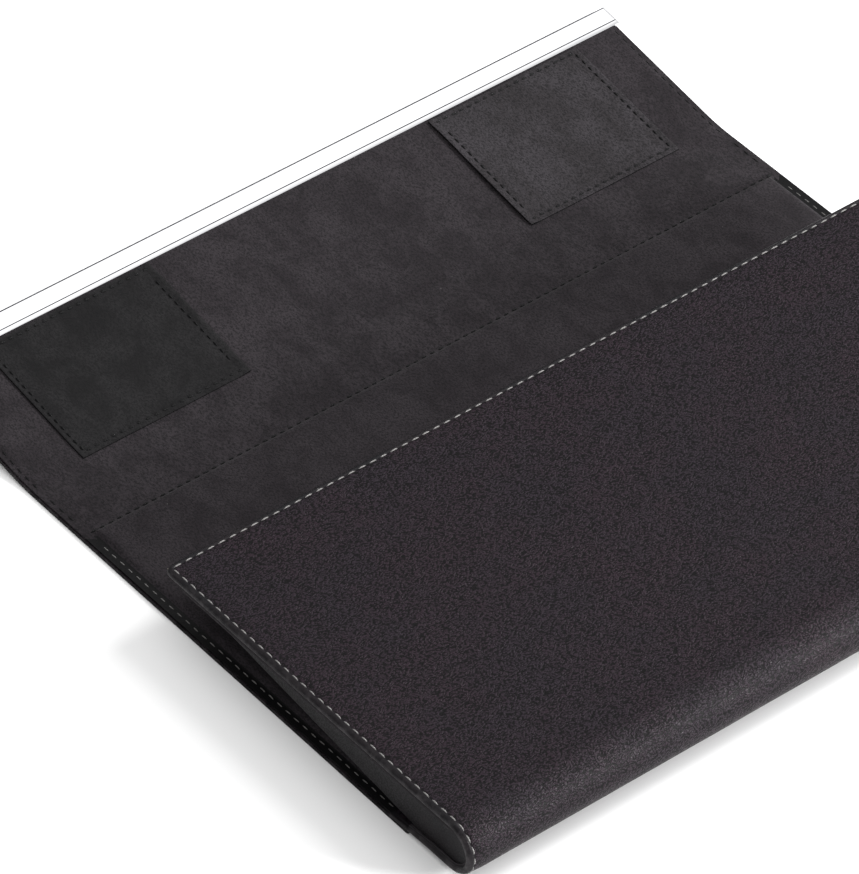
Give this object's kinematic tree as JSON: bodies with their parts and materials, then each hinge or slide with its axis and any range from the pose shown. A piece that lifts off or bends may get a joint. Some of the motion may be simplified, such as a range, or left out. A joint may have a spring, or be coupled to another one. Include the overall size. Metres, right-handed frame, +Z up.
{
  "type": "laptop sleeve",
  "caption": "Envelope laptop sleeve with open sides, a divider, two card pockets in its fold-over flap and a metal closure bar along the flap's edge.",
  "frame": {"origin": "centre of the whole footprint, on the surface that the open sleeve lies on", "axes": "+X to the right across the mouth, +Y from the bottom fold towards the flap and its bar, +Z up"},
  "size_m": [0.342, 0.3406, 0.0253],
  "materials": {
    "leather": "fine pebble grain, satin",
    "suede": "brushed suede lining",
    "board": "grey board, hidden between leather and lining",
    "magnet": "plated magnet strips, hidden under the front leather",
    "polished_bar": "mirror polish",
    "topstitch": "pale waxed thread",
    "lining_thread": "black thread"
  },
  "bodies": {
    "back": {"back_leather": "leather", "fold_leather": "leather", "fold_lining": "suede", "back_board": "board", "back_lining": "suede"},
    "front": {"front_leather": "leather", "front_board": "board", "closure_magnets": "magnet", "front_lining": "suede", "front_fold_lining": "suede", "divider_lower_lining": "suede", "divider_upper_lining": "suede", "divider_board": "board"},
    "spine": {"spine_leather": "leather", "spine_lining": "suede"},
    "flap": {"flap_leather": "leather", "flap_board": "board", "flap_lining": "suede", "left_card_pocket": "suede", "right_card_pocket": "suede", "closure_bar": "polished_bar", "bar_left_cap": "polished_bar", "bar_right_cap": "polished_bar"}
  },
  "joints": [
    {"name": "front_fold", "type": "hinge", "parent": "back", "child": "front", "pos_m": [0, -0.1703, 0.01315], "axis": [1, 0, 0], "range_deg": [-3.54, 0]},
    {"name": "spine_fold", "type": "hinge", "parent": "back", "child": "spine", "pos_m": [0, 0.0637, 0.0017], "axis": [1, 0, 0], "range_deg": [0, 90]},
    {"name": "flap_fold", "type": "hinge", "parent": "spine", "child": "flap", "pos_m": [0, 0.0887, 0.0017], "axis": [1, 0, 0], "range_deg": [0, 81]}
  ],
  "couplings": [
    {"joint": "flap_fold", "follows": "spine_fold", "ratio": 0.89941}
  ]
}
